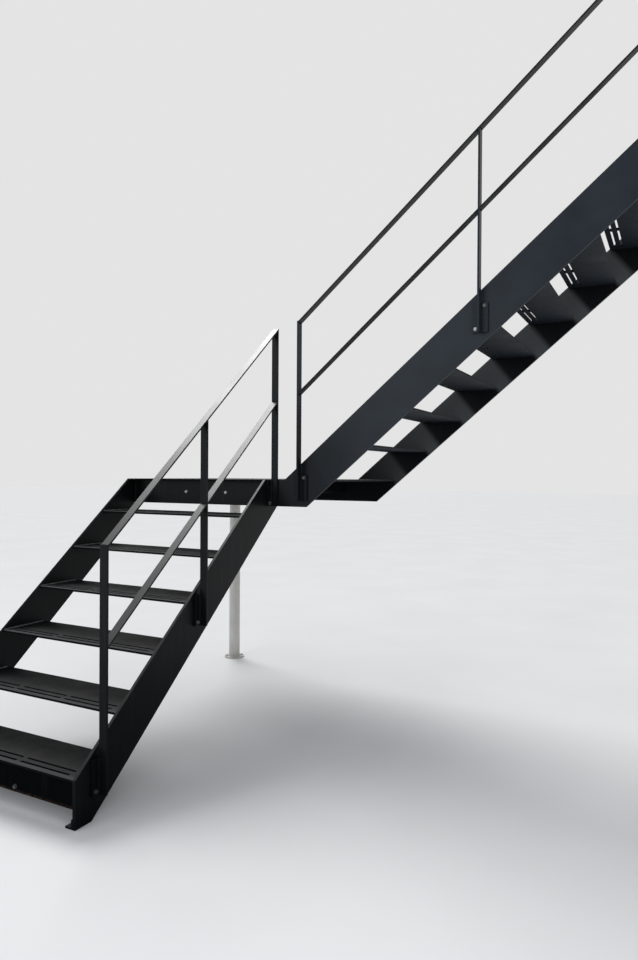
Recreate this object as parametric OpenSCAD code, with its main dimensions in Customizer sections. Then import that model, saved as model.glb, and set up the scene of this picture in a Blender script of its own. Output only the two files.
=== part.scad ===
// Quarter-turn open-riser steel stair with a corner landing and a flat-bar railing.
// Millimetres, Z up. The lower flight climbs towards +Y, the upper flight towards +X.
// The origin is the centre of the floor face of the open-side foot bracket.

/* [Steps] */
// height of one riser, both flights
riser = 200; // [150:220]
// horizontal distance from nosing to nosing, both flights
going = 236; // [200:320]
// risers from the floor to the landing
lower_risers = 7; // [7:7]
// risers from the landing to the upper floor
upper_risers = 9; // [9:9]
// front to back size of one tread plate
tread_depth = 270; // [236:340]
// thickness of tread, landing and top plates
tread_t = 10; // [5:14]

/* [Anti-slip slots] */
// slots in one row
slot_count = 3; // [1:6]
// solid steel between two slots of a row
slot_gap = 24; // [15:60]
// end of a row from the stringer
slot_edge = 51; // [30:100]
// slot width
slot_width = 12; // [6:16]
// centre of the front row behind the nosing
slot_row_1 = 32; // [20:60]
// centre of the back row behind the nosing
slot_row_2 = 68; // [50:110]

/* [Stringers] */
// overall width of each flight over its stringers
flight_width = 1050; // [800:1400]
// thickness of stringer plates
plate_t = 15; // [8:15]
// depth of a stringer measured square to its slope
stringer_depth = 209; // [160:280]
// height of the level parts round the landing and at the top
level_depth = 155; // [120:200]
// level run of the lower stringers in front of the landing beam
lower_level_run = 60; // [20:120]
// level run of the open-side lower stringer behind its bottom knee, under the landing
lower_lap = 25; // [10:200]
// level run of the upper stringers before their slope starts
upper_level_run = 95; // [60:200]
// level run of the upper stringers at the upper floor
top_level_run = 260; // [150:400]
// height of the cross plate under the first tread
front_plate_h = 114; // [60:170]
// set-back of that cross plate behind the first nosing
front_plate_back = 10; // [5:60]

/* [Landing] */
// height of the bearers under the landing plate
bearer_h = 80; // [50:120]
// number of bearers under the landing plate, open side included
bearer_count = 3; // [3:3]
// centre of the column from the outer face of the lower wall-side stringer
column_inset = 85; // [70:400]
// outside diameter of the column
column_d = 82.5; // [60:120]
// wall of the column's tube
column_wall = 4; // [3:6]
// vent hole in the base flange, under the tube
vent_d = 20; // [10:30]
// diameter of the round base flange
flange_d = 150; // [130:220]
// thickness of the base flange and of the head plate
flange_t = 10; // [8:20]
// side of the square head plate
head_side = 140; // [100:180]
// pitch circle of the flange anchor holes
flange_pcd = 118; // [110:180]

/* [Feet and top fixing] */
// leg width of the foot brackets
foot_leg = 40; // [36:120]
// thickness of the foot brackets
foot_t = 8; // [6:12]
// length of the foot brackets along the stringer
foot_length = 80; // [60:140]
// anchor hole of a foot bracket behind the first nosing
foot_hole_run = 58; // [20:100]
// width of a top fixing plate
fixing_w = 110; // [90:160]
// height of a top fixing plate
fixing_h = 150; // [120:150]
// thickness of a top fixing plate
fixing_t = 10; // [8:15]
// spacing of the fixing holes across the stringer
fixing_hole_w = 66; // [50:110]
// spacing of the fixing holes up the plate
fixing_hole_h = 86; // [60:110]
// hole for floor and wall anchors
anchor_hole_d = 14; // [9:18]

/* [Railing] */
// wide side of the flat bars, square to the stringer
bar_w = 40; // [30:60]
// thickness of the post bars
post_t = 10; // [8:15]
// thickness of the rail bars, square to the slope
rail_t = 8; // [6:12]
// underside of the lower handrail above the line through the nosings
lower_handrail_rise = 821; // [750:1100]
// underside of the upper handrail above the line through the nosings
upper_handrail_rise = 793; // [750:1100]
// underside of the lower mid rails above the line through the nosings
lower_mid_rise = 404; // [300:600]
// underside of the upper mid rails above the line through the nosings
upper_mid_rise = 388; // [300:600]
// width of a post base plate
base_w = 80; // [70:140]
// height of a post base plate
base_h = 150; // [110:150]
// thickness of a post base plate
base_t = 12; // [6:15]
// top of a lower post's base plate below the line through the nosings
lower_base_drop = 48; // [40:80]
// top of an upper post's base plate below the line through the nosings
upper_base_drop = 64; // [40:80]
// base plate bolt from the post centre, along the flight
base_bolt_run = 22; // [20:40]
// base plate bolt from the top or bottom of the plate
base_bolt_edge = 18; // [16:35]
// bolt hole in base plates and stringers
base_hole_d = 13; // [9:15]
// centre of the first lower post behind the first nosing
lower_post_start = 121; // [60:200]
// distance between the lower posts
lower_post_pitch = 674; // [500:800]
// centre of the first upper post from the open-side stringer face
upper_post_start = 206; // [160:300]
// distance between the upper posts
upper_post_pitch = 1027; // [700:1030]

/* [Hidden] */
slope = riser / going;
stringer_drop = stringer_depth / cos(atan(slope));
rail_drop = rail_t / cos(atan(slope));
landing_z = lower_risers * riser;
top_z = landing_z + upper_risers * riser;
nosing_1_y = -lower_level_run - (lower_risers - 1) * going;
top_nosing_x = upper_level_run + upper_risers * going;
end_x = top_nosing_x + top_level_run;
knee_y = nosing_1_y + (landing_z - level_depth - riser + stringer_drop) / slope;
inner_w = flight_width - 2 * plate_t;
landing_right = upper_level_run + tread_depth;
column_x = -flight_width + column_inset;
column_y = flight_width - plate_t / 2;
slot_length = (inner_w - 2 * slot_edge - (slot_count - 1) * slot_gap) / slot_count;
origin_x = -plate_t - foot_leg / 2;
origin_y = nosing_1_y + foot_length / 2;
steel = [0.13, 0.14, 0.15];
nosing_grey = [0.20, 0.21, 0.22];
column_grey = [0.82, 0.83, 0.83];

// Moves everything from the landing corner to the foot bracket's floor face.
module placed() {
  translate([-origin_x, -origin_y, 0]) children();
}

// Height of the line through the lower nosings at y.
function lower_line(y) = riser + (y - nosing_1_y) * slope;

// Height of the line through the upper nosings at x.
function upper_line(x) = landing_z + (x - upper_level_run) * slope;

// Stands a profile drawn as run and height along Y, with thickness t from x.
module along_y(x, t) {
  translate([x, 0, 0]) rotate([90, 0, 90]) linear_extrude(height = t) children();
}

// Stands a profile drawn as run and height along X, with thickness t from y.
module along_x(y, t) {
  translate([0, y + t, 0]) rotate([90, 0, 0]) linear_extrude(height = t) children();
}

// The side of a lower stringer; from full_y on its top leaves room for the landing plate.
module lower_side(end_y, full_y) {
  foot_back = nosing_1_y + (stringer_drop - riser) / slope;
  polygon([[nosing_1_y, 0], [foot_back, 0], [knee_y, landing_z - level_depth],
    [end_y, landing_z - level_depth], [end_y, end_y > full_y ? landing_z - tread_t : landing_z],
    if (end_y > full_y) [full_y, landing_z - tread_t], if (end_y > full_y) [full_y, landing_z],
    [-lower_level_run, landing_z], [nosing_1_y, riser]]);
}

module upper_side(start_x) {
  low_knee = upper_level_run + (stringer_drop - level_depth) / slope;
  high_knee = top_nosing_x + (stringer_drop - level_depth) / slope;
  polygon([[start_x, landing_z - level_depth], [low_knee, landing_z - level_depth],
    [high_knee, top_z - level_depth], [end_x, top_z - level_depth], [end_x, top_z],
    [top_nosing_x, top_z], [upper_level_run, landing_z], [start_x, landing_z]]);
}

function lower_post_y(i) = nosing_1_y + lower_post_start + (i - 1) * lower_post_pitch;
function upper_post_x(i) = upper_post_start + (i - 1) * upper_post_pitch;

// Bolt holes of lower post base i, bored along X; the third one's plate has only the low hole.
module lower_post_holes(i) {
  y = lower_post_y(i);
  top = lower_line(y) - lower_base_drop;
  translate([-plate_t - 5, y - base_bolt_run, top - base_h + base_bolt_edge])
    rotate([0, 90, 0]) cylinder(h = plate_t + base_t + 10, d = base_hole_d, $fn = 24);
  if (i < 3) translate([-plate_t - 5, y + base_bolt_run, top - base_bolt_edge])
    rotate([0, 90, 0]) cylinder(h = plate_t + base_t + 10, d = base_hole_d, $fn = 24);
}

// Both bolt holes of upper post base i, bored along Y.
module upper_post_holes(i) {
  x = upper_post_x(i);
  top = upper_line(x) - upper_base_drop;
  translate([x - base_bolt_run, plate_t + 5, top - base_h + base_bolt_edge])
    rotate([90, 0, 0]) cylinder(h = plate_t + base_t + 10, d = base_hole_d, $fn = 24);
  translate([x + base_bolt_run, plate_t + 5, top - base_bolt_edge])
    rotate([90, 0, 0]) cylinder(h = plate_t + base_t + 10, d = base_hole_d, $fn = 24);
}

module lower_stringer_open_side() {
  color(steel) placed() difference() {
    along_y(-plate_t, plate_t) lower_side(knee_y + lower_lap, plate_t);
    for (i = [1 : 3]) lower_post_holes(i);
  }
}

module lower_stringer_wall_side() {
  color(steel) placed() along_y(-flight_width, plate_t)
    lower_side(flight_width, flight_width);
}

module upper_stringer_open_side() {
  color(steel) placed() difference() {
    along_x(0, plate_t) upper_side(0);
    for (i = [1 : 3]) upper_post_holes(i);
  }
}

module upper_stringer_wall_side() {
  color(steel) placed() along_x(flight_width - plate_t, plate_t)
    upper_side(-flight_width + plate_t);
}

// A row of slots along X, its front edge at y = 0 of the plate's own frame.
module slot_row(y) {
  half = slot_width / 2;
  corner = slot_width * 0.3;
  for (i = [0 : slot_count - 1])
    translate([slot_edge + i * (slot_length + slot_gap), y])
      polygon([[0, half - corner], [0, corner - half], [corner, -half],
        [slot_length - corner, -half], [slot_length, corner - half],
        [slot_length, half - corner], [slot_length - corner, half], [corner, half]]);
}

// One tread plate, its nosing along X at y = 0, top at z = 0.
module tread_plate() {
  translate([0, 0, -tread_t]) linear_extrude(height = tread_t) difference() {
    square([inner_w, tread_depth]);
    slot_row(slot_row_1);
    slot_row(slot_row_2);
  }
}

module lower_tread(i) {
  color(nosing_grey) placed()
    translate([-flight_width + plate_t, nosing_1_y + (i - 1) * going, i * riser])
      tread_plate();
}

module upper_tread(i) {
  color(nosing_grey) placed()
    translate([upper_level_run + i * going, flight_width - plate_t, landing_z + i * riser])
      rotate([0, 0, -90]) tread_plate();
}

module lower_tread_1() { lower_tread(1); }
module lower_tread_2() { lower_tread(2); }
module lower_tread_3() { lower_tread(3); }
module lower_tread_4() { lower_tread(4); }
module lower_tread_5() { lower_tread(5); }
module lower_tread_6() { lower_tread(6); }
module upper_tread_1() { upper_tread(1); }
module upper_tread_2() { upper_tread(2); }
module upper_tread_3() { upper_tread(3); }
module upper_tread_4() { upper_tread(4); }
module upper_tread_5() { upper_tread(5); }
module upper_tread_6() { upper_tread(6); }
module upper_tread_7() { upper_tread(7); }
module upper_tread_8() { upper_tread(8); }

module lower_front_plate() {
  color(steel) placed()
    translate([-flight_width + plate_t, nosing_1_y + front_plate_back,
      riser - tread_t - front_plate_h])
      cube([inner_w, plate_t, front_plate_h]);
}

// An angle bracket, floor leg along +X from x = 0, upright leg at its far side.
module foot_bracket() {
  difference() {
    union() {
      cube([foot_leg, foot_length, foot_t]);
      translate([foot_leg - foot_t, 0, 0]) cube([foot_t, foot_length, foot_leg]);
    }
    translate([foot_leg / 2, foot_hole_run, -5])
      cylinder(h = foot_t + 10, d = anchor_hole_d, $fn = 24);
  }
}

module lower_foot_open_side() {
  color(steel) placed()
    translate([-plate_t - foot_leg, nosing_1_y, 0]) foot_bracket();
}

module lower_foot_wall_side() {
  color(steel) placed()
    translate([-flight_width + plate_t + foot_leg, nosing_1_y, 0])
      mirror([1, 0, 0]) foot_bracket();
}

module landing_plate() {
  color(nosing_grey) placed()
    translate([0, 0, landing_z - tread_t]) linear_extrude(height = tread_t)
      difference() {
        polygon([[-flight_width + plate_t, -lower_level_run], [-plate_t, -lower_level_run],
          [-plate_t, plate_t], [landing_right, plate_t],
          [landing_right, flight_width - plate_t],
          [-flight_width + plate_t, flight_width - plate_t]]);
        translate([-flight_width + plate_t, -lower_level_run]) {
          slot_row(slot_row_1);
        }
      }
}

module landing_front_beam() {
  color(steel) placed()
    translate([-flight_width + plate_t, 0, landing_z - level_depth])
      cube([inner_w, plate_t, level_depth - tread_t]);
}

// Bearer i, spaced evenly from the wall side to the lower flight's open side.
module bearer(i) {
  x = -flight_width + plate_t + i * inner_w / bearer_count - plate_t;
  color(steel) placed()
    translate([x, plate_t, landing_z - tread_t - bearer_h])
      cube([plate_t, inner_w, bearer_h]);
}

module landing_bearer_1() { bearer(1); }
module landing_bearer_2() { bearer(2); }
module landing_bearer_3() { bearer(3); }

module landing_column() {
  top = landing_z - level_depth;
  color(column_grey) placed() translate([column_x, column_y, 0]) difference() {
    union() {
      cylinder(h = flange_t, d = flange_d, $fn = 48);
      cylinder(h = top - flange_t / 2, d = column_d, $fn = 48);
      translate([-head_side / 2, -head_side / 2, top - flange_t])
        cube([head_side, head_side, flange_t]);
    }
    translate([0, 0, flange_t])
      cylinder(h = top - 2 * flange_t, d = column_d - 2 * column_wall, $fn = 48);
    translate([0, 0, -5]) cylinder(h = flange_t + 10, d = vent_d, $fn = 24);
    for (a = [45 : 90 : 315])
      rotate([0, 0, a]) translate([flange_pcd / 2, 0, -5])
        cylinder(h = flange_t + 10, d = 11, $fn = 24);
  }
}

module upper_top_plate() {
  color(nosing_grey) placed()
    translate([top_nosing_x, flight_width - plate_t, top_z])
      rotate([0, 0, -90]) translate([0, 0, -tread_t]) linear_extrude(height = tread_t)
        difference() {
          square([inner_w, top_level_run]);
          slot_row(slot_row_1);
          slot_row(slot_row_2);
        }
}

// An end plate against the upper floor's edge, centred on y.
module top_fixing(y) {
  color(steel) placed() translate([end_x, y, top_z - fixing_h / 2]) difference() {
    translate([0, -fixing_w / 2, -fixing_h / 2]) cube([fixing_t, fixing_w, fixing_h]);
    for (a = [-1, 1], b = [-1, 1])
      translate([-5, a * fixing_hole_w / 2, b * fixing_hole_h / 2])
        rotate([0, 90, 0]) cylinder(h = fixing_t + 10, d = anchor_hole_d, $fn = 24);
  }
}

module top_fixing_open_side() { top_fixing(plate_t / 2); }
module top_fixing_wall_side() { top_fixing(flight_width - plate_t / 2); }

// Posts stand under the handrail; the first of each flight runs up to the rail's top, cut level.
module lower_post(i) {
  y = lower_post_y(i);
  top = lower_line(y) - lower_base_drop;
  back = i == 3 ? post_t / 2 : base_w / 2;
  back_z = lower_line(y + post_t / 2) + lower_handrail_rise + (i == 1 ? rail_drop : 0);
  front_z = i == 1 ? back_z : lower_line(y - post_t / 2) + lower_handrail_rise;
  color(steel) placed() {
    difference() {
      translate([0, y - base_w / 2, top - base_h]) cube([base_t, base_w / 2 + back, base_h]);
      lower_post_holes(i);
    }
    along_y(base_t, bar_w) polygon([[y - post_t / 2, top - base_h],
      [y + post_t / 2, top - base_h], [y + post_t / 2, back_z], [y - post_t / 2, front_z]]);
  }
}

module upper_post(i) {
  x = upper_post_x(i);
  top = upper_line(x) - upper_base_drop;
  back_z = upper_line(x + post_t / 2) + upper_handrail_rise + (i == 1 ? rail_drop : 0);
  front_z = i == 1 ? back_z : upper_line(x - post_t / 2) + upper_handrail_rise;
  color(steel) placed() {
    difference() {
      translate([x - base_w / 2, -base_t, top - base_h]) cube([base_w, base_t, base_h]);
      upper_post_holes(i);
    }
    along_x(-base_t - bar_w, bar_w) polygon([[x - post_t / 2, top - base_h],
      [x + post_t / 2, top - base_h], [x + post_t / 2, back_z], [x - post_t / 2, front_z]]);
  }
}

module lower_post_1() { lower_post(1); }
module lower_post_2() { lower_post(2); }
module lower_post_3() { lower_post(3); }
module upper_post_1() { upper_post(1); }
module upper_post_2() { upper_post(2); }
module upper_post_3() { upper_post(3); }

// A sloping flat bar lying flat between two places of the lower flight.
module lower_rail(y0, y1, rise) {
  color(steel) placed() along_y(base_t, bar_w)
    polygon([[y0, lower_line(y0) + rise], [y1, lower_line(y1) + rise],
      [y1, lower_line(y1) + rise + rail_drop], [y0, lower_line(y0) + rise + rail_drop]]);
}

module upper_rail(x0, x1, rise) {
  color(steel) placed() along_x(-base_t - bar_w, bar_w)
    polygon([[x0, upper_line(x0) + rise], [x1, upper_line(x1) + rise],
      [x1, upper_line(x1) + rise + rail_drop], [x0, upper_line(x0) + rise + rail_drop]]);
}

module lower_handrail() {
  lower_rail(lower_post_y(1) + post_t / 2, lower_post_y(3) + post_t / 2, lower_handrail_rise);
}

module upper_handrail() {
  upper_rail(upper_post_x(1) + post_t / 2, upper_post_x(3) + post_t / 2, upper_handrail_rise);
}

module lower_mid_rail_1() {
  lower_rail(lower_post_y(1) + post_t / 2, lower_post_y(2) - post_t / 2, lower_mid_rise);
}

module lower_mid_rail_2() {
  lower_rail(lower_post_y(2) + post_t / 2, lower_post_y(3) - post_t / 2, lower_mid_rise);
}

module upper_mid_rail_1() {
  upper_rail(upper_post_x(1) + post_t / 2, upper_post_x(2) - post_t / 2, upper_mid_rise);
}

module upper_mid_rail_2() {
  upper_rail(upper_post_x(2) + post_t / 2, upper_post_x(3) - post_t / 2, upper_mid_rise);
}

lower_stringer_open_side();
lower_stringer_wall_side();
lower_tread_1();
lower_tread_2();
lower_tread_3();
lower_tread_4();
lower_tread_5();
lower_tread_6();
lower_front_plate();
lower_foot_open_side();
lower_foot_wall_side();
landing_plate();
landing_front_beam();
landing_bearer_1();
landing_bearer_2();
landing_bearer_3();
landing_column();
upper_stringer_open_side();
upper_stringer_wall_side();
upper_tread_1();
upper_tread_2();
upper_tread_3();
upper_tread_4();
upper_tread_5();
upper_tread_6();
upper_tread_7();
upper_tread_8();
upper_top_plate();
top_fixing_open_side();
top_fixing_wall_side();
lower_post_1();
lower_post_2();
lower_post_3();
upper_post_1();
upper_post_2();
upper_post_3();
lower_handrail();
lower_mid_rail_1();
lower_mid_rail_2();
upper_handrail();
upper_mid_rail_1();
upper_mid_rail_2();
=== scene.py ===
import math

import bmesh
import bpy
from mathutils import Matrix, Vector


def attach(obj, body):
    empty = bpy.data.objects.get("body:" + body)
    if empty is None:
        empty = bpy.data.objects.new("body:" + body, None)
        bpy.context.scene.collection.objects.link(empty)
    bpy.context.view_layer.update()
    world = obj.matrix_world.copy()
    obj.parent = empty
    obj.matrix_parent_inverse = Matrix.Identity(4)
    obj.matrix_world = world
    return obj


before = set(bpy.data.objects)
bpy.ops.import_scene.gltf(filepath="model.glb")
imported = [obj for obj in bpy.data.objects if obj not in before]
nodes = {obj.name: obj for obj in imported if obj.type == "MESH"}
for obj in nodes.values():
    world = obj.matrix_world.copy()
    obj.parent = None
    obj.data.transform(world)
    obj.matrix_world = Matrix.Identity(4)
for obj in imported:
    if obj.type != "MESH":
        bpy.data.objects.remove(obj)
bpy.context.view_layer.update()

# Places and sizes of the stair, in metres, in the part's own frame. CROSS is the plate below the
# first tread, BEAM the landing's front, FIXING the end plates at the upper floor and BASE the
# plates that hold the posts.
RISER = 0.2
GOING = 0.236
SLOPE = RISER / GOING
PLATE = 0.015
WIDTH = 1.050
OPEN_X = 0.035
LAND_Y = 1.436
LAND_Z = 1.4
TOP_Z = 3.2
LEVEL_H = 0.155
NOSING_1 = -0.040
UPPER_NOSING_0 = OPEN_X + 0.095
END_X = OPEN_X + 2.479
TREAD_T = 0.010
TREAD_D = 0.270
CROSS_H = 0.114
CROSS_BACK = 0.010
FOOT_T = 0.008
FOOT_HOLES_X = (0.0, -0.980)
FOOT_HOLE_Y = NOSING_1 + 0.058
FIXING_H = 0.150
FIXING_HOLE_W = 0.066
FIXING_HOLE_H = 0.086
BASE_T = 0.012
BASE_H = 0.150
LOWER_BASE_DROP = 0.048
UPPER_BASE_DROP = 0.064
BOLT_EDGE = 0.018
BOLT_RUN = 0.022
LOWER_POST_1 = NOSING_1 + 0.121
LOWER_POST_PITCH = 0.674
UPPER_POST_1 = OPEN_X + 0.206
UPPER_POST_PITCH = 1.027
POST_T = 0.010
BAR_W = 0.040
RAIL_DROP = 0.008 / math.cos(math.atan(SLOPE))
LOWER_HAND_RISE = 0.821
UPPER_HAND_RISE = 0.793
LOWER_MID_RISE = 0.404
UPPER_MID_RISE = 0.388
COLUMN = (OPEN_X - WIDTH + 0.085, LAND_Y + WIDTH - 0.0075)
COLUMN_R = 0.04125
FLANGE_T = 0.010
FLANGE_HOLE_R = 0.059
BEAM_BOLTS = (OPEN_X - 0.318, OPEN_X - 0.618)
BEAM_BOLT_Z = 1.320
CROSS_BOLTS = (OPEN_X - 0.361, OPEN_X - 0.683)
CROSS_BOLT_Z = 0.099
RIGHT = OPEN_X - PLATE
LEFT = OPEN_X - WIDTH + PLATE
NEAR = LAND_Y + PLATE
FAR = LAND_Y + WIDTH - PLATE

# Sizes of bolts and welds, in metres.
WASHER_R = 0.0105
WASHER_T = 0.002
FLANGE_WASHER_R = 0.010
WELD_SINK = 0.0004
WELD_MARGIN = 0.004
RAIL_WELD_MARGIN = 0.002

# The sides of each post on which rails meet it.
RAIL_SIDES = {1: (1,), 2: (-1, 1), 3: (-1,)}

# The height, in metres, up to which the sides' shine fades toward the floor: painted shade.
SHADE_HEIGHT = 0.85

# Metres that the edge of the painted shadow under each upper tread moves sideways for each metre
# that it falls.
SHADOW_LEAN = 0.79

# The camera that was fitted to the photograph: its place in metres, its axes, its focal length
# and the picture's height in pixels, and the sensor's height in millimetres.
CAMERA_PLACE = (2.1672, -2.0366, 1.4278)
CAMERA_RIGHT = (0.88654, 0.46261, 0.00583)
CAMERA_FORWARD = (-0.46257, 0.88656, -0.00687)
FOCAL_PIXELS = 692.39
PICTURE_HEIGHT = 960.0
SENSOR = 36.0


def lower_line(y):
    return RISER + (y - NOSING_1) * SLOPE


def upper_line(x):
    return LAND_Z + (x - UPPER_NOSING_0) * SLOPE


# Node-based materials.
def new_material(name):
    mat = bpy.data.materials.new(name)
    mat.use_nodes = True
    tree = mat.node_tree
    shader = tree.nodes["Principled BSDF"]
    return mat, tree, shader


def noise(tree, coords, scale, detail=3.0, rough=0.5, stretch=None):
    node = tree.nodes.new("ShaderNodeTexNoise")
    node.inputs["Scale"].default_value = scale
    node.inputs["Detail"].default_value = detail
    node.inputs["Roughness"].default_value = rough
    source = coords
    if stretch:
        mapping = tree.nodes.new("ShaderNodeMapping")
        mapping.inputs["Scale"].default_value = stretch
        tree.links.new(coords, mapping.inputs["Vector"])
        source = mapping.outputs["Vector"]
    tree.links.new(source, node.inputs["Vector"])
    return node.outputs["Fac"]


def ramp(tree, fac, stops):
    """A colour ramp between two stops, each a pair of place and colour."""
    node = tree.nodes.new("ShaderNodeValToRGB")
    for element, (place, colour) in zip(node.color_ramp.elements, stops):
        element.position = place
        element.color = (*colour, 1)
    tree.links.new(fac, node.inputs["Fac"])
    return node.outputs["Color"]


def mix_colour(tree, fac, a, b):
    node = tree.nodes.new("ShaderNodeMix")
    node.data_type = "RGBA"
    tree.links.new(fac, node.inputs[0])
    for value, socket in ((a, node.inputs[6]), (b, node.inputs[7])):
        if isinstance(value, tuple):
            socket.default_value = (*value, 1)
        else:
            tree.links.new(value, socket)
    return node.outputs[2]


def math_node(tree, operation, a, b=None, c=None, clamp=False):
    node = tree.nodes.new("ShaderNodeMath")
    node.operation = operation
    node.use_clamp = clamp
    for value, socket in zip((a, b, c), node.inputs):
        if value is None:
            continue
        if isinstance(value, (int, float)):
            socket.default_value = value
        else:
            tree.links.new(value, socket)
    return node.outputs[0]


def map_range(tree, value, low, high, to_low, to_high):
    node = tree.nodes.new("ShaderNodeMapRange")
    node.inputs["From Min"].default_value = low
    node.inputs["From Max"].default_value = high
    node.inputs["To Min"].default_value = to_low
    node.inputs["To Max"].default_value = to_high
    tree.links.new(value, node.inputs["Value"])
    return node.outputs["Result"]


def bump(tree, height, strength, distance, normal=None):
    node = tree.nodes.new("ShaderNodeBump")
    node.inputs["Strength"].default_value = strength
    node.inputs["Distance"].default_value = distance
    tree.links.new(height, node.inputs["Height"])
    if normal is not None:
        tree.links.new(normal, node.inputs["Normal"])
    return node.outputs["Normal"]


def edge_wear(tree, radius, breakup):
    """A mask of the sharp edges, from a rounded normal against the flat one."""
    rounded = tree.nodes.new("ShaderNodeBevel")
    rounded.samples = 4
    rounded.inputs["Radius"].default_value = radius
    flat = tree.nodes.new("ShaderNodeNewGeometry")
    dot = tree.nodes.new("ShaderNodeVectorMath")
    dot.operation = "DOT_PRODUCT"
    tree.links.new(rounded.outputs["Normal"], dot.inputs[0])
    tree.links.new(flat.outputs["Normal"], dot.inputs[1])
    edge = map_range(tree, dot.outputs["Value"], 0.985, 0.86, 0.0, 1.0)
    return math_node(tree, "MULTIPLY", edge, breakup, clamp=True), rounded.outputs["Normal"]


def object_coords(tree):
    node = tree.nodes.new("ShaderNodeTexCoord")
    return node.outputs["Object"]


def parts_of(tree, vector):
    node = tree.nodes.new("ShaderNodeSeparateXYZ")
    tree.links.new(vector, node.inputs[0])
    return node.outputs


# Tones of the paint: black low down, slate on the upper flight, and dust on both. The slate is
# lighter partly as painted light on the upper flight, and the PAINT_LIGHT tone also serves as
# painted shade there.
PAINT_DARK = (0.0030, 0.0034, 0.0040)
PAINT_LIGHT = (0.0055, 0.0061, 0.0071)
PAINT_DUST = (0.045, 0.043, 0.040)
SLATE_DARK = (0.0125, 0.0165, 0.0220)
SLATE_LIGHT = (0.0235, 0.0300, 0.0380)
SLATE = (SLATE_DARK, SLATE_LIGHT)
DUSTY_EDGE = (0.034, 0.036, 0.038)
# Painted light on the wall-side stringer's inner face where light falls between the upper treads.
LIT_INNER_SLATE = ((0.052, 0.055, 0.057), (0.070, 0.074, 0.077))


def paint_base(tree, coords, tones=(PAINT_DARK, PAINT_LIGHT), specks=0.16):
    cloud = noise(tree, coords, 3.2, 4.0, 0.6)
    grain = noise(tree, coords, 60.0, 3.0, 0.6)
    base = ramp(tree, cloud, [(0.30, tones[0]), (0.72, tones[1])])
    speck = ramp(tree, grain, [(0.62, (0, 0, 0)), (0.80, (1, 1, 1))])
    amount = math_node(tree, "MULTIPLY", speck, specks)
    return mix_colour(tree, amount, base, PAINT_DUST), cloud, grain


def face_parts(tree):
    """How far a face looks along x, y and z: in z, a top face has 1 and an underside -1."""
    face = tree.nodes.new("ShaderNodeNewGeometry")
    return parts_of(tree, face.outputs["Normal"])


def lit_past_corner(tree, parts):
    """Painted shade of the landing's corner: 0 at the corner, 1 well up the upper flight."""
    return map_range(tree, parts[0], 0.14, 0.64, 0.0, 1.0)


def above_upper_line(tree, parts, low, high):
    """0 and 1 at two heights above the line through the upper flight's nosings."""
    climb = math_node(tree, "MULTIPLY", parts[0], SLOPE)
    height = math_node(tree, "SUBTRACT", parts[2], climb)
    base = LAND_Z - UPPER_NOSING_0 * SLOPE
    return map_range(tree, height, base + low, base + high, 0.0, 1.0)


def over_flight(tree, parts):
    """Painted shade low on the upper posts near the corner: 0 at the first post's base, 1 halfway
    up it and on the posts past the corner.
    """
    raised = above_upper_line(tree, parts, -0.05, 0.42)
    return math_node(tree, "MAXIMUM", raised, lit_past_corner(tree, parts))


def painted_light_between_treads(tree, parts):
    """Painted shadow and painted light on the wall-side stringer's inner face: 0 in the painted
    shadow below each upper tread and at the corner, 1 where light falls in between the treads."""
    run = math_node(tree, "SUBTRACT", parts[0], UPPER_NOSING_0)
    step = math_node(tree, "FLOOR", math_node(tree, "DIVIDE", run, GOING))
    along = math_node(tree, "SUBTRACT", run, math_node(tree, "MULTIPLY", step, GOING))
    height = math_node(tree, "SUBTRACT", parts[2], math_node(tree, "MULTIPLY", step, RISER))
    height = math_node(tree, "SUBTRACT", height, LAND_Z - TREAD_T)
    across_light = math_node(tree, "ADD", along, math_node(tree, "MULTIPLY", height, SHADOW_LEAN))
    below = math_node(tree, "LESS_THAN", height, TREAD_T / 2)
    landing = math_node(tree, "LESS_THAN", step, 0.5)
    tread_shadow = map_range(tree, across_light, -0.020, 0.025, 0.0, 1.0)
    tread_shadow = math_node(tree, "MULTIPLY", math_node(tree, "MAXIMUM", tread_shadow, landing), below)
    behind = math_node(tree, "ADD", across_light, RISER * SHADOW_LEAN)
    lower = math_node(tree, "LESS_THAN", height, TREAD_T / 2 - RISER)
    back = map_range(tree, behind, 0.020, 0.050, 1.0, 0.0)
    back = math_node(tree, "MULTIPLY", back, lower)
    inner = math_node(tree, "LESS_THAN", face_parts(tree)[1], -0.5)
    shadowed = math_node(tree, "MULTIPLY", math_node(tree, "MAXIMUM", tread_shadow, back), inner)
    lit_part = math_node(tree, "SUBTRACT", 1.0, shadowed)
    return math_node(tree, "MULTIPLY", lit_part, lit_past_corner(tree, parts))


def upper_bolt_of_base(tree, parts):
    """0 at the lower bolt of each upper post's base, 1 at the upper bolt."""
    return above_upper_line(tree, parts, -0.150, -0.128)


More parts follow.
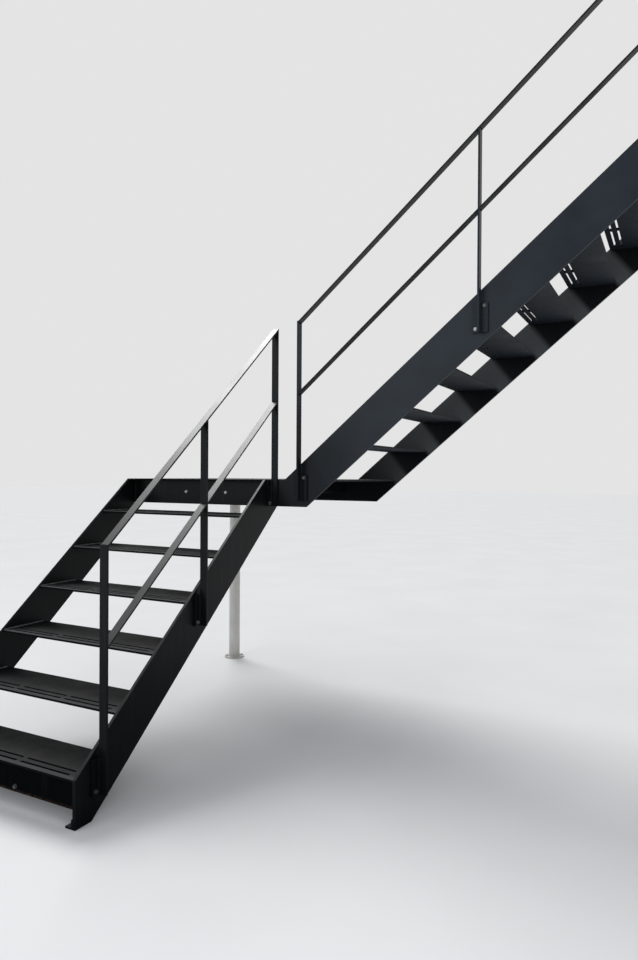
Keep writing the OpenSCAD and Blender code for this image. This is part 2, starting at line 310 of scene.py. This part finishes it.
def frame_paint(name, rough, shine, tones=(PAINT_DARK, PAINT_LIGHT), calm=1.0,
                brown_line=None, light_mask=None, low=1.0):
    """Satin dark paint. The three values of shine are for top faces, sides and undersides; calm
    weakens specks, wear and ripple; the line height gives a brownish lower edge; the mask says
    where the full tones set in, and below it PAINT_LIGHT is painted shade; low is the share of
    the sides' shine that is left at the floor, where its fading is painted shade."""
    mat, tree, shader = new_material(name)
    coords = object_coords(tree)
    colour, cloud, grain = paint_base(tree, coords, tones, 0.16 * calm)
    parts = parts_of(tree, coords)
    # Where the mask is low the colour turns to PAINT_LIGHT: painted shade.
    if light_mask:
        colour = mix_colour(tree, light_mask(tree, parts), PAINT_LIGHT, colour)
    streak = noise(tree, coords, 5.0, 3.0, 0.6, (6.0, 6.0, 0.5))
    dirt = ramp(tree, streak, [(0.55, (0, 0, 0)), (0.80, (1, 1, 1))])
    colour = mix_colour(tree, math_node(tree, "MULTIPLY", dirt, 0.18 * calm), colour, PAINT_DUST)
    chips = map_range(tree, grain, 0.42, 0.60, 0.15 * calm, 0.85 * calm)
    up = face_parts(tree)[2]
    worn, rounded = edge_wear(tree, 0.0015, chips)
    worn = math_node(tree, "MULTIPLY", worn, map_range(tree, up, -0.90, -0.50, 0.2, 1.0))
    colour = mix_colour(tree, worn, colour, (0.030, 0.031, 0.032))
    # A brownish line along the plate's lower edge.
    if brown_line:
        line = map_range(tree, parts[2], brown_line + 0.006, brown_line + 0.013, 0.85, 0.0)
        line = math_node(tree, "MULTIPLY", line, chips)
        colour = mix_colour(tree, line, colour, (0.10, 0.065, 0.045))
    tree.links.new(colour, shader.inputs["Base Color"])
    uneven = map_range(tree, cloud, 0.3, 0.7, rough, rough + 0.08)
    tree.links.new(uneven, shader.inputs["Roughness"])
    peel = noise(tree, coords, 420.0, 2.0, 0.5)
    normal = bump(tree, peel, 0.10 * calm, 0.0004, rounded)
    normal = bump(tree, cloud, 0.12, 0.0030, normal)
    tree.links.new(normal, shader.inputs["Normal"])
    upper = map_range(tree, up, 0.25, 0.60, 0.0, shine[0])
    under = map_range(tree, up, -0.60, -0.25, shine[2], shine[1])
    under = math_node(tree, "MULTIPLY", under, map_range(tree, up, 0.25, 0.60, 1.0, 0.0))
    # The sides' shine fades toward the floor: painted shade.
    if low < 1.0:
        brighter = map_range(tree, parts[2], 0.0, SHADE_HEIGHT, low, 1.0)
        under = math_node(tree, "MULTIPLY", under, brighter)
    shader.inputs["Specular IOR Level"].default_value = shine[1]
    tree.links.new(math_node(tree, "ADD", upper, under), shader.inputs["Specular IOR Level"])
    return mat


def tread_paint(name, axis, first_nosing, first_z, below):
    """Paint of a flight that climbs along the axis: worn at each nosing, dark at the plates'
    edges, dusty on their back edges and with its own tone below."""
    mat, tree, shader = new_material(name)
    coords = object_coords(tree)
    colour, cloud, grain = paint_base(tree, coords)
    parts = parts_of(tree, coords)
    lifted = math_node(tree, "SUBTRACT", parts[2], first_z - 0.5 * RISER)
    step = math_node(tree, "FLOOR", math_node(tree, "DIVIDE", lifted, RISER))
    nosing = math_node(tree, "MULTIPLY", step, GOING)
    run = math_node(tree, "SUBTRACT", parts[axis], first_nosing)
    behind = math_node(tree, "SUBTRACT", run, nosing)
    turned = face_parts(tree)
    up = turned[2]
    trodden = map_range(tree, up, 0.5, 0.9, 0.0, 1.0)
    underside = map_range(tree, up, -0.9, -0.5, 1.0, 0.0)
    colour = mix_colour(tree, underside, colour, below)
    # The plates' upright edge faces are darkened: painted shade.
    edge_face = math_node(tree, "COMPARE", up, 0.0, 0.3)
    colour = mix_colour(tree, math_node(tree, "MULTIPLY", edge_face, 0.6), colour, PAINT_DARK)
    back_face = map_range(tree, turned[axis], 0.5, 0.9, 0.0, 1.0)
    colour = mix_colour(tree, back_face, colour, DUSTY_EDGE)
    worn_edge = map_range(tree, behind, 0.022, 0.030, 1.0, 0.0)
    worn_step = map_range(tree, behind, 0.026, 0.090, 0.06, 0.0)
    patches = noise(tree, coords, 9.0, 5.0, 0.65)
    breakup = map_range(tree, patches, 0.35, 0.65, 0.55, 1.0)
    wear = math_node(tree, "ADD", worn_edge, worn_step, clamp=True)
    wear = math_node(tree, "MULTIPLY", wear, breakup, clamp=True)
    wear = math_node(tree, "MULTIPLY", wear, trodden, clamp=True)
    colour = mix_colour(tree, wear, colour, (0.031, 0.033, 0.035))
    stretch = (1.0, 3.0, 1.0) if axis == 0 else (3.0, 1.0, 1.0)
    scuffs = noise(tree, coords, 14.0, 6.0, 0.7, stretch)
    scuff = ramp(tree, scuffs, [(0.60, (0, 0, 0)), (0.74, (1, 1, 1))])
    scuff = math_node(tree, "MULTIPLY", scuff, 0.22)
    colour = mix_colour(tree, scuff, colour, (0.060, 0.058, 0.054))
    worn, rounded = edge_wear(tree, 0.0012, breakup)
    worn = math_node(tree, "MULTIPLY", worn, map_range(tree, edge_face, 0.0, 1.0, 0.3, 0.1))
    colour = mix_colour(tree, worn, colour, (0.034, 0.035, 0.036))
    tree.links.new(colour, shader.inputs["Base Color"])
    rough = map_range(tree, patches, 0.3, 0.7, 0.56, 0.70)
    tree.links.new(rough, shader.inputs["Roughness"])
    peel = noise(tree, coords, 420.0, 2.0, 0.5)
    normal = bump(tree, peel, 0.12, 0.0004, rounded)
    normal = bump(tree, scuffs, 0.10, 0.0012, normal)
    tree.links.new(normal, shader.inputs["Normal"])
    shader.inputs["Specular IOR Level"].default_value = 0.10
    shine = map_range(tree, edge_face, 0.0, 1.0, 0.10, 0.02)
    tree.links.new(shine, shader.inputs["Specular IOR Level"])
    return mat


def column_paint():
    mat, tree, shader = new_material("column_paint")
    coords = object_coords(tree)
    cloud = noise(tree, coords, 5.0, 4.0, 0.6)
    streak = noise(tree, coords, 6.0, 3.0, 0.6, (5.0, 5.0, 0.4))
    colour = ramp(tree, cloud, [(0.3, (0.50, 0.49, 0.465)), (0.7, (0.60, 0.59, 0.56))])
    dirt = ramp(tree, streak, [(0.5, (0, 0, 0)), (0.85, (1, 1, 1))])
    colour = mix_colour(tree, math_node(tree, "MULTIPLY", dirt, 0.25), colour, (0.36, 0.34, 0.31))
    splash = map_range(tree, parts_of(tree, coords)[2], 0.0, 0.16, 0.45, 0.0)
    colour = mix_colour(tree, splash, colour, (0.30, 0.28, 0.25))
    worn, rounded = edge_wear(tree, 0.0015, cloud)
    colour = mix_colour(tree, math_node(tree, "MULTIPLY", worn, 0.6), colour, (0.30, 0.29, 0.27))
    tree.links.new(colour, shader.inputs["Base Color"])
    rough = map_range(tree, cloud, 0.3, 0.7, 0.42, 0.58)
    tree.links.new(rough, shader.inputs["Roughness"])
    peel = noise(tree, coords, 300.0, 2.0, 0.5)
    tree.links.new(bump(tree, peel, 0.12, 0.0005, rounded), shader.inputs["Normal"])
    return mat


def seam_dust():
    mat, tree, shader = new_material("seam_dust")
    coords = object_coords(tree)
    patches = noise(tree, coords, 30.0, 4.0, 0.6)
    colour = ramp(tree, patches, [(0.35, (0.050, 0.051, 0.052)), (0.70, (0.150, 0.148, 0.144))])
    tree.links.new(colour, shader.inputs["Base Color"])
    tree.links.new(map_range(tree, patches, 0.3, 0.7, 0.55, 0.75), shader.inputs["Roughness"])
    tree.links.new(bump(tree, patches, 0.2, 0.0006), shader.inputs["Normal"])
    shader.inputs["Specular IOR Level"].default_value = 0.2
    return mat


def zinc(name, dull_height, bright_height, blackening, shaded=None):
    """Zinc that is dull up to one height, in metres, and bright from the other. The two
    blackening heights are where a black tone fades out; the shading mask says where zinc stays
    dull anyway."""
    mat, tree, shader = new_material(name)
    coords = object_coords(tree)
    spangle = noise(tree, coords, 160.0, 3.0, 0.6)
    brighter = ramp(tree, spangle, [(0.3, (0.32, 0.325, 0.33)), (0.7, (0.44, 0.445, 0.45))])
    dull = ramp(tree, spangle, [(0.3, (0.09, 0.092, 0.094)), (0.7, (0.17, 0.172, 0.174))])
    parts = parts_of(tree, coords)
    raised = map_range(tree, parts[2], dull_height, bright_height, 0.0, 1.0)
    if shaded:
        kept = math_node(tree, "SUBTRACT", 1.0, shaded(tree, parts))
        raised = math_node(tree, "MULTIPLY", raised, kept)
    colour = mix_colour(tree, raised, dull, brighter)
    blackened = map_range(tree, parts[2], blackening[0], blackening[1], 1.0, 0.0)
    colour = mix_colour(tree, blackened, colour, (0.010, 0.010, 0.011))
    stain = noise(tree, coords, 40.0, 4.0, 0.6)
    mask = ramp(tree, stain, [(0.58, (0, 0, 0)), (0.78, (1, 1, 1))])
    mask = math_node(tree, "MULTIPLY", mask, 0.35)
    colour = mix_colour(tree, mask, colour, (0.10, 0.075, 0.055))
    tree.links.new(colour, shader.inputs["Base Color"])
    rough = map_range(tree, spangle, 0.3, 0.7, 0.42, 0.60)
    tree.links.new(rough, shader.inputs["Roughness"])
    tree.links.new(bump(tree, spangle, 0.15, 0.0003), shader.inputs["Normal"])
    shader.inputs["Metallic"].default_value = 0.8
    return mat


FRAME_PAINT = frame_paint("frame_paint", 0.28, (0.11, 0.11, 0.03), low=0.10)
OPEN_STRINGER_PAINT = frame_paint("open_stringer_paint", 0.28, (0.30, 0.11, 0.03), low=0.10)
WALL_STRINGER_PAINT = frame_paint("wall_stringer_paint", 0.34, (0.02, 0.11, 0.03), calm=0.4)
# The upper open-side stringer darkens toward the landing's corner: painted shade.
SLATE_PAINT = frame_paint(
    "slate_paint", 0.30, (0.12, 0.12, 0.03), SLATE, 0.3, light_mask=lit_past_corner)
# The wall-side upper stringer's inner face: painted shadow below each tread, painted light
# between them.
INNER_SLATE_PAINT = frame_paint(
    "inner_slate_paint", 0.36, (0.12, 0.04, 0.03), LIT_INNER_SLATE, 0.3, light_mask=painted_light_between_treads)
# The upper posts darken toward their bases near the corner: painted shade.
UPPER_POST_PAINT = frame_paint(
    "upper_post_paint", 0.30, (0.12, 0.09, 0.03), SLATE, 0.3, light_mask=over_flight)
RAIL_PAINT = frame_paint("rail_paint", 0.34, (0.66, 0.14, 0.55), calm=0.25)
# The front plate is painted in the darkest tone all over: painted shade under the first tread.
FRONT_PLATE_PAINT = frame_paint(
    "front_plate_paint", 0.44, (0.05, 0.0, 0.0), (PAINT_DARK, PAINT_DARK), 0.4,
    brown_line=RISER - TREAD_T - CROSS_H)
LOWER_TREAD_PAINT = tread_paint("lower_tread_paint", 1, NOSING_1, RISER, PAINT_LIGHT)
# The upper treads' slate undersides are lighter partly as painted light.
UPPER_TREAD_PAINT = tread_paint("upper_tread_paint", 0, UPPER_NOSING_0, LAND_Z, SLATE_DARK)
COLUMN_PAINT = column_paint()
BOLT_ZINC = zinc("bolt_zinc", 0.3, 1.4, (-0.05, 0.25))
# On the upper post bolts the dull and black parts are painted shade: the landing's corner low
# down, and each post's shadow on its base's upper bolt.
UPPER_BOLT_ZINC = zinc("upper_bolt_zinc", 1.45, 2.20, (1.29, 1.40), upper_bolt_of_base)
LOWER_BOLT_ZINC = zinc("lower_bolt_zinc", 1.20, 3.00, (0.0, 0.37))
SEAM_DUST = seam_dust()


# Mesh helpers.
def add_piece(name, mesh_maker, material):
    mesh = bpy.data.meshes.new(name)
    bm = bmesh.new()
    mesh_maker(bm)
    bmesh.ops.recalc_face_normals(bm, faces=bm.faces)
    bm.to_mesh(mesh)
    bm.free()
    for polygon in mesh.polygons:
        polygon.use_smooth = True
    mesh.set_sharp_from_angle(angle=math.radians(35))
    mesh.materials.append(material)
    piece = bpy.data.objects.new(name, mesh)
    bpy.context.scene.collection.objects.link(piece)
    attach(piece, "root")


def facing(axis):
    """The turn that lays the z axis along the given one."""
    return Vector(axis).normalized().to_track_quat("Z", "Y").to_matrix().to_4x4()


def lathe(bm, place, axis, profile, sides, turn=0.0):
    """Rings of (radius, height) round an axis, closed at both ends."""
    matrix = Matrix.Translation(place) @ facing(axis) @ Matrix.Rotation(turn, 4, "Z")
    rings = []
    for radius, height in profile:
        ring = []
        for i in range(sides):
            a = 2 * math.pi * i / sides
            point = Vector((radius * math.cos(a), radius * math.sin(a), height))
            ring.append(bm.verts.new(matrix @ point))
        rings.append(ring)
    for low, high in zip(rings, rings[1:]):
        for i in range(sides):
            j = (i + 1) % sides
            bm.faces.new((low[i], low[j], high[j], high[i]))
    bm.faces.new(list(reversed(rings[0])))
    bm.faces.new(rings[-1])


def washer(bm, place, axis):
    profile = [(WASHER_R, 0.0), (WASHER_R, WASHER_T * 0.7), (WASHER_R - 0.0008, WASHER_T)]
    lathe(bm, place, axis, profile, 32)


def hexagon(bm, place, axis, across, height, turn):
    r = across / math.sqrt(3)
    profile = [(r * 0.96, 0.0), (r, 0.0008), (r, height * 0.78)]
    profile += [(r * 0.90, height), (r * 0.55, height)]
    lathe(bm, place, axis, profile, 6, turn)


def bolt(bm, place, axis, turn=0.3, across=0.016, height=0.0064):
    """A washer with a hexagon head on it."""
    step = Vector(axis).normalized()
    washer(bm, place, axis)
    hexagon(bm, Vector(place) + step * WASHER_T, axis, across, height, turn)


def nut(bm, place, axis, turn=0.3, across=0.016, thread=0.010, height=0.008):
    """A washer and a nut with the bolt's end standing out of it."""
    bolt(bm, place, axis, turn, across, height)
    r = thread / 2
    pitch = 0.00175
    start = WASHER_T + height
    threads = [(r, start - 0.0005)]
    turns = 3
    for i in range(turns):
        low = start + i * pitch
        threads += [(r, low + 0.0003), (r - 0.0008, low + 0.0011)]
    end = start + turns * pitch
    threads += [(r - 0.0006, end), (r - 0.002, end + 0.001)]
    lathe(bm, place, axis, threads, 20)


def ripple(i):
    """How thick a weld is at its cross-section i."""
    return 1.0 + 0.13 * math.sin(i * 2.4) + 0.07 * math.sin(i * 5.1)


def weld_ring(bm, corner, a, b, swell):
    """One cross-section of a fillet weld: its corner, sunk a little, and four points round it."""
    ring = [corner - a * WELD_SINK - b * WELD_SINK]
    for k in range(4):
        angle = 0.5 * math.pi * k / 3
        bulge = 1.0 + 0.18 * math.sin(2 * angle)
        way = a * math.cos(angle) ** 1.5 + b * math.sin(angle) ** 1.5
        ring.append(corner + way * swell * bulge)
    return [bm.verts.new(p) for p in ring]


def join_rings(bm, low, high):
    """Faces between two cross-sections of five points each."""
    for k in range(5):
        m = (k + 1) % 5
        bm.faces.new((low[k], low[m], high[m], high[k]))


def bead(bm, start, end, side_a, side_b, size=0.006, pitch=0.005):
    """A rippled fillet weld in the corner of two faces that look along side_a and side_b."""
    start = Vector(start)
    end = Vector(end)
    a = Vector(side_a).normalized()
    b = Vector(side_b).normalized()
    length = (end - start).length
    count = max(2, int(length / pitch))
    rings = []
    for i in range(count + 1):
        t = i / count
        centre = start.lerp(end, t)
        swell = size * ripple(i)
        if i in (0, count):
            swell *= 0.6
        rings.append(weld_ring(bm, centre, a, b, swell))
    for low, high in zip(rings, rings[1:]):
        join_rings(bm, low, high)
    bm.faces.new(list(reversed(rings[0])))
    bm.faces.new(rings[-1])


def ring_bead(bm, centre, radius, up, size=0.006, count=64):
    """A rippled weld round an upright tube that stands on a plate looking along up."""
    rings = []
    for i in range(count):
        angle = 2 * math.pi * i / count
        out = Vector((math.cos(angle), math.sin(angle), 0))
        rise = Vector((0, 0, up))
        base = Vector(centre) + out * radius
        rings.append(weld_ring(bm, base, out, rise, size * ripple(i)))
    for i in range(count):
        join_rings(bm, rings[i], rings[(i + 1) % count])


# The CAD nodes keep their shapes and get these materials.
PLATES = ("upper_top_plate", "landing_plate")
for node_name, node in nodes.items():
    if node_name == "landing_column":
        paint = COLUMN_PAINT
    elif node_name.startswith("lower_tread"):
        paint = LOWER_TREAD_PAINT
    elif node_name.startswith("upper_tread") or node_name in PLATES:
        paint = UPPER_TREAD_PAINT
    elif "rail" in node_name:
        paint = RAIL_PAINT
    elif node_name == "lower_front_plate":
        paint = FRONT_PLATE_PAINT
    elif node_name == "lower_stringer_open_side":
        paint = OPEN_STRINGER_PAINT
    elif node_name == "lower_stringer_wall_side":
        paint = WALL_STRINGER_PAINT
    elif node_name == "upper_stringer_open_side":
        paint = SLATE_PAINT
    elif node_name == "upper_stringer_wall_side":
        paint = INNER_SLATE_PAINT
    elif node_name.startswith("upper_post"):
        paint = UPPER_POST_PAINT
    else:
        paint = FRAME_PAINT
    for material_slot in node.material_slots:
        material_slot.material = paint


# Bolts with nuts behind the plates, and anchors. Posts are counted from 1.
def lower_post_y(i):
    return LOWER_POST_1 + (i - 1) * LOWER_POST_PITCH


def upper_post_x(i):
    return UPPER_POST_1 + (i - 1) * UPPER_POST_PITCH


def lower_base_bolts(bm):
    for i in (1, 2, 3):
        y = lower_post_y(i)
        top = lower_line(y) - LOWER_BASE_DROP
        spots = [(y - BOLT_RUN, top - BASE_H + BOLT_EDGE)]
        if i < 3:
            spots.append((y + BOLT_RUN, top - BOLT_EDGE))
        for k, (by, bz) in enumerate(spots):
            bolt(bm, (OPEN_X + BASE_T, by, bz), (1, 0, 0), 0.2 + 0.7 * k + i)
            nut(bm, (OPEN_X - PLATE, by, bz), (-1, 0, 0), 0.5 + 0.4 * k + i)


def upper_base_bolts(bm):
    for i in (1, 2, 3):
        x = upper_post_x(i)
        top = upper_line(x) - UPPER_BASE_DROP
        spots = [(x - BOLT_RUN, top - BASE_H + BOLT_EDGE), (x + BOLT_RUN, top - BOLT_EDGE)]
        for k, (bx, bz) in enumerate(spots):
            bolt(bm, (bx, LAND_Y - BASE_T, bz), (0, -1, 0), 0.1 + 0.6 * k + i)
            nut(bm, (bx, LAND_Y + PLATE, bz), (0, 1, 0), 0.4 + 0.5 * k + i)


def cross_plate_bolts(bm):
    front = NOSING_1 + CROSS_BACK
    for places, y, z in ((BEAM_BOLTS, LAND_Y, BEAM_BOLT_Z), (CROSS_BOLTS, front, CROSS_BOLT_Z)):
        for x in places:
            turn = x - OPEN_X
            bolt(bm, (x, y, z), (0, -1, 0), 0.3 + turn)
            nut(bm, (x, y + PLATE, z), (0, 1, 0), 0.8 + turn)


def floor_anchors(bm):
    for x in FOOT_HOLES_X:
        nut(bm, (x, FOOT_HOLE_Y, FOOT_T), (0, 0, 1), 0.3 + x)


def flange_anchors(bm):
    for a in (45, 135, 225, 315):
        angle = math.radians(a)
        x = COLUMN[0] + FLANGE_HOLE_R * math.cos(angle)
        y = COLUMN[1] + FLANGE_HOLE_R * math.sin(angle)
        ring = [(FLANGE_WASHER_R, 0.0), (FLANGE_WASHER_R, 0.0015)]
        ring.append((FLANGE_WASHER_R - 0.0007, WASHER_T))
        lathe(bm, (x, y, FLANGE_T), (0, 0, 1), ring, 28)
        hexagon(bm, (x, y, FLANGE_T + WASHER_T), (0, 0, 1), 0.0155, 0.006, 0.3 + a)


def top_anchors(bm):
    for y in (LAND_Y + PLATE / 2, LAND_Y + WIDTH - PLATE / 2):
        for a in (-1, 1):
            for b in (-1, 1):
                across = y + a * FIXING_HOLE_W / 2
                height = TOP_Z - FIXING_H / 2 + b * FIXING_HOLE_H / 2
                nut(bm, (END_X, across, height), (-1, 0, 0), 0.2 + a + 0.4 * b)


add_piece("lower_post_bolts", lower_base_bolts, LOWER_BOLT_ZINC)
add_piece("upper_post_bolts", upper_base_bolts, UPPER_BOLT_ZINC)
add_piece("cross_plate_bolts", cross_plate_bolts, BOLT_ZINC)
add_piece("floor_anchors", floor_anchors, BOLT_ZINC)
add_piece("top_anchors", top_anchors, BOLT_ZINC)
add_piece("flange_anchors", flange_anchors, COLUMN_PAINT)


# Weld seams.
def tread_seams(bm):
    start = 0.012
    end = TREAD_D - 0.008
    for i in range(1, 7):
        y = NOSING_1 + (i - 1) * GOING
        z = i * RISER - TREAD_T
        for x, side in ((RIGHT, -1), (LEFT, 1)):
            bead(bm, (x, y + start, z), (x, y + end, z), (side, 0, 0), (0, 0, -1))
    for i in range(1, 9):
        x = UPPER_NOSING_0 + i * GOING
        z = LAND_Z + i * RISER - TREAD_T
        for y, side in ((NEAR, 1), (FAR, -1)):
            bead(bm, (x + start, y, z), (x + end, y, z), (0, side, 0), (0, 0, -1))


def tread_top_seams(bm):
    for i in range(1, 7):
        y = NOSING_1 + (i - 1) * GOING
        z = i * RISER
        start = (LEFT, y + 0.010, z)
        end = (LEFT, y + TREAD_D - 0.006, z)
        bead(bm, start, end, (1, 0, 0), (0, 0, 1), 0.0055)


def post_seams(bm):
    for i in (1, 2, 3):
        y = lower_post_y(i)
        high = lower_line(y) - LOWER_BASE_DROP - WELD_MARGIN
        low = high - BASE_H + 2 * WELD_MARGIN
        face = OPEN_X + BASE_T
        for side in (-1, 1) if i < 3 else (-1,):
            edge = y + side * POST_T / 2
            bead(bm, (face, edge, low), (face, edge, high), (1, 0, 0), (0, side, 0), 0.005)
        x = upper_post_x(i)
        high = upper_line(x) - UPPER_BASE_DROP - WELD_MARGIN
        low = high - BASE_H + 2 * WELD_MARGIN
        face = LAND_Y - BASE_T
        for side in (-1, 1):
            edge = x + side * POST_T / 2
            bead(bm, (edge, face, low), (edge, face, high), (0, -1, 0), (side, 0, 0), 0.005)


def rail_seams(bm):
    """Seams below all rails, and above the mid rails too."""
    lower_near = OPEN_X + BASE_T + RAIL_WELD_MARGIN
    lower_far = OPEN_X + BASE_T + BAR_W - RAIL_WELD_MARGIN
    upper_near = LAND_Y - BASE_T - RAIL_WELD_MARGIN
    upper_far = LAND_Y - BASE_T - BAR_W + RAIL_WELD_MARGIN
    for i, sides in RAIL_SIDES.items():
        for rise, above in ((LOWER_HAND_RISE, False), (LOWER_MID_RISE, True)):
            for side in sides:
                y = lower_post_y(i) + side * POST_T / 2
                z = lower_line(y) + rise
                way = (0, side, 0)
                bead(bm, (lower_near, y, z), (lower_far, y, z), way, (0, 0, -1), 0.004)
                if above:
                    z += RAIL_DROP
                    bead(bm, (lower_near, y, z), (lower_far, y, z), way, (0, 0, 1), 0.004)
        for rise, above in ((UPPER_HAND_RISE, False), (UPPER_MID_RISE, True)):
            for side in sides:
                x = upper_post_x(i) + side * POST_T / 2
                z = upper_line(x) + rise
                way = (side, 0, 0)
                bead(bm, (x, upper_near, z), (x, upper_far, z), way, (0, 0, -1), 0.004)
                if above:
                    z += RAIL_DROP
                    bead(bm, (x, upper_near, z), (x, upper_far, z), way, (0, 0, 1), 0.004)


def plate_seams(bm):
    """Upright seams: x, y, lower and upper end, the two faces and the weld's size."""
    back = NOSING_1 + CROSS_BACK + PLATE
    cross_high = RISER - TREAD_T - WELD_MARGIN
    cross_low = RISER - TREAD_T - CROSS_H + WELD_MARGIN
    low = LAND_Z - LEVEL_H + WELD_MARGIN
    high = LAND_Z - TREAD_T - WELD_MARGIN
    end_low = TOP_Z - FIXING_H + WELD_MARGIN
    end_high = TOP_Z - WELD_MARGIN
    end_back = TOP_Z - 0.012
    seams = [
        (RIGHT, back, cross_low, cross_high, (-1, 0, 0), (0, 1, 0), 0.006),
        (LEFT, back, cross_low, cross_high, (1, 0, 0), (0, 1, 0), 0.006),
        (OPEN_X, LAND_Y, low, LAND_Z - 0.005, (0, -1, 0), (1, 0, 0), 0.004),
        (LEFT, LAND_Y, low, high, (0, -1, 0), (1, 0, 0), 0.005),
        (RIGHT, LAND_Y, low, high, (0, -1, 0), (-1, 0, 0), 0.005),
        (LEFT, NEAR, low, high, (0, 1, 0), (1, 0, 0), 0.005),
    ]
    for y in (LAND_Y, FAR):
        seams.append((END_X, y, end_low, end_high, (-1, 0, 0), (0, -1, 0), 0.006))
        seams.append((END_X, y + PLATE, end_low, end_back, (-1, 0, 0), (0, 1, 0), 0.006))
    for x, y, bottom, top, side_a, side_b, size in seams:
        bead(bm, (x, y, bottom), (x, y, top), side_a, side_b, size)


def column_seams(bm):
    head = LAND_Z - LEVEL_H - FLANGE_T
    ring_bead(bm, (*COLUMN, FLANGE_T), COLUMN_R, 1.0)
    ring_bead(bm, (*COLUMN, head), COLUMN_R, -1.0)


add_piece("tread_welds", tread_seams, FRAME_PAINT)
add_piece("tread_top_welds", tread_top_seams, SEAM_DUST)
add_piece("post_welds", post_seams, FRAME_PAINT)
add_piece("rail_welds", rail_seams, FRAME_PAINT)
add_piece("plate_welds", plate_seams, FRAME_PAINT)
add_piece("column_welds", column_seams, COLUMN_PAINT)


# Floor, light and camera.
def stage_floor():
    mesh = bpy.data.meshes.new("studio_floor")
    bm = bmesh.new()
    side = 60.0
    corners = [(-side, -side), (side, -side), (side, side), (-side, side)]
    bm.faces.new([bm.verts.new((x, y, -0.0005)) for x, y in corners])
    bm.to_mesh(mesh)
    bm.free()
    floor = bpy.data.objects.new("studio_floor", mesh)
    bpy.context.scene.collection.objects.link(floor)
    mat, tree, shader = new_material("studio_floor")
    coords = object_coords(tree)
    grain = noise(tree, coords, 1.2, 2.0, 0.5)
    colour = ramp(tree, grain, [(0.3, (0.69, 0.69, 0.69)), (0.7, (0.72, 0.72, 0.72))])
    tree.links.new(colour, shader.inputs["Base Color"])
    shader.inputs["Roughness"].default_value = 0.9
    mesh.materials.append(mat)


def add_lamp(data, place, aim):
    lamp = bpy.data.objects.new(data.name, data)
    bpy.context.scene.collection.objects.link(lamp)
    turn = (aim - place).to_track_quat("-Z", "Y")
    lamp.matrix_world = Matrix.Translation(place) @ turn.to_matrix().to_4x4()


def studio_light():
    world = bpy.data.worlds.new("studio")
    bpy.context.scene.world = world
    world.use_nodes = True
    tree = world.node_tree
    background = tree.nodes["Background"]
    background.inputs["Color"].default_value = (0.95, 0.97, 1.0, 1)
    background.inputs["Strength"].default_value = 0.55
    bright = tree.nodes.new("ShaderNodeBackground")
    bright.inputs["Color"].default_value = (1, 1, 1, 1)
    bright.inputs["Strength"].default_value = 0.775
    path = tree.nodes.new("ShaderNodeLightPath")
    seen = tree.nodes.new("ShaderNodeMath")
    seen.operation = "MAXIMUM"
    tree.links.new(path.outputs["Is Camera Ray"], seen.inputs[0])
    tree.links.new(path.outputs["Is Glossy Ray"], seen.inputs[1])
    mix = tree.nodes.new("ShaderNodeMixShader")
    tree.links.new(seen.outputs[0], mix.inputs[0])
    tree.links.new(background.outputs[0], mix.inputs[1])
    tree.links.new(bright.outputs[0], mix.inputs[2])
    tree.links.new(mix.outputs[0], tree.nodes["World Output"].inputs["Surface"])
    sun = bpy.data.lights.new("key", "SUN")
    sun.energy = 2.0
    sun.angle = math.radians(30.0)
    add_lamp(sun, Vector((-5.0, 3.8, 7.8)), Vector((0.0, 0.0, 0.0)))
    for name, place, aim, size, power in (
        ("fill", (-3.5, -8.2, 4.3), (0.7, 1.4, 1.9), 5.8, 225.0),
        ("side", (5.5, -3.5, 5.5), (0.5, 1.0, 1.2), 4.0, 70.0),
    ):
        data = bpy.data.lights.new(name, "AREA")
        data.shape = "SQUARE"
        data.size = size
        data.energy = power
        data.color = (0.88, 0.94, 1.0)
        add_lamp(data, Vector(place), Vector(aim))


def photo_camera():
    data = bpy.data.cameras.new("camera")
    data.sensor_fit = "VERTICAL"
    data.sensor_height = SENSOR
    data.lens = SENSOR * FOCAL_PIXELS / PICTURE_HEIGHT
    data.clip_end = 200.0
    camera = bpy.data.objects.new("camera", data)
    bpy.context.scene.collection.objects.link(camera)
    right = Vector(CAMERA_RIGHT).normalized()
    forward = Vector(CAMERA_FORWARD).normalized()
    up = right.cross(forward)
    matrix = Matrix((right, up, -forward)).transposed().to_4x4()
    matrix.translation = CAMERA_PLACE
    camera.matrix_world = matrix
    bpy.context.scene.camera = camera


stage_floor()
studio_light()
photo_camera()
bpy.context.scene.view_settings.view_transform = "Standard"
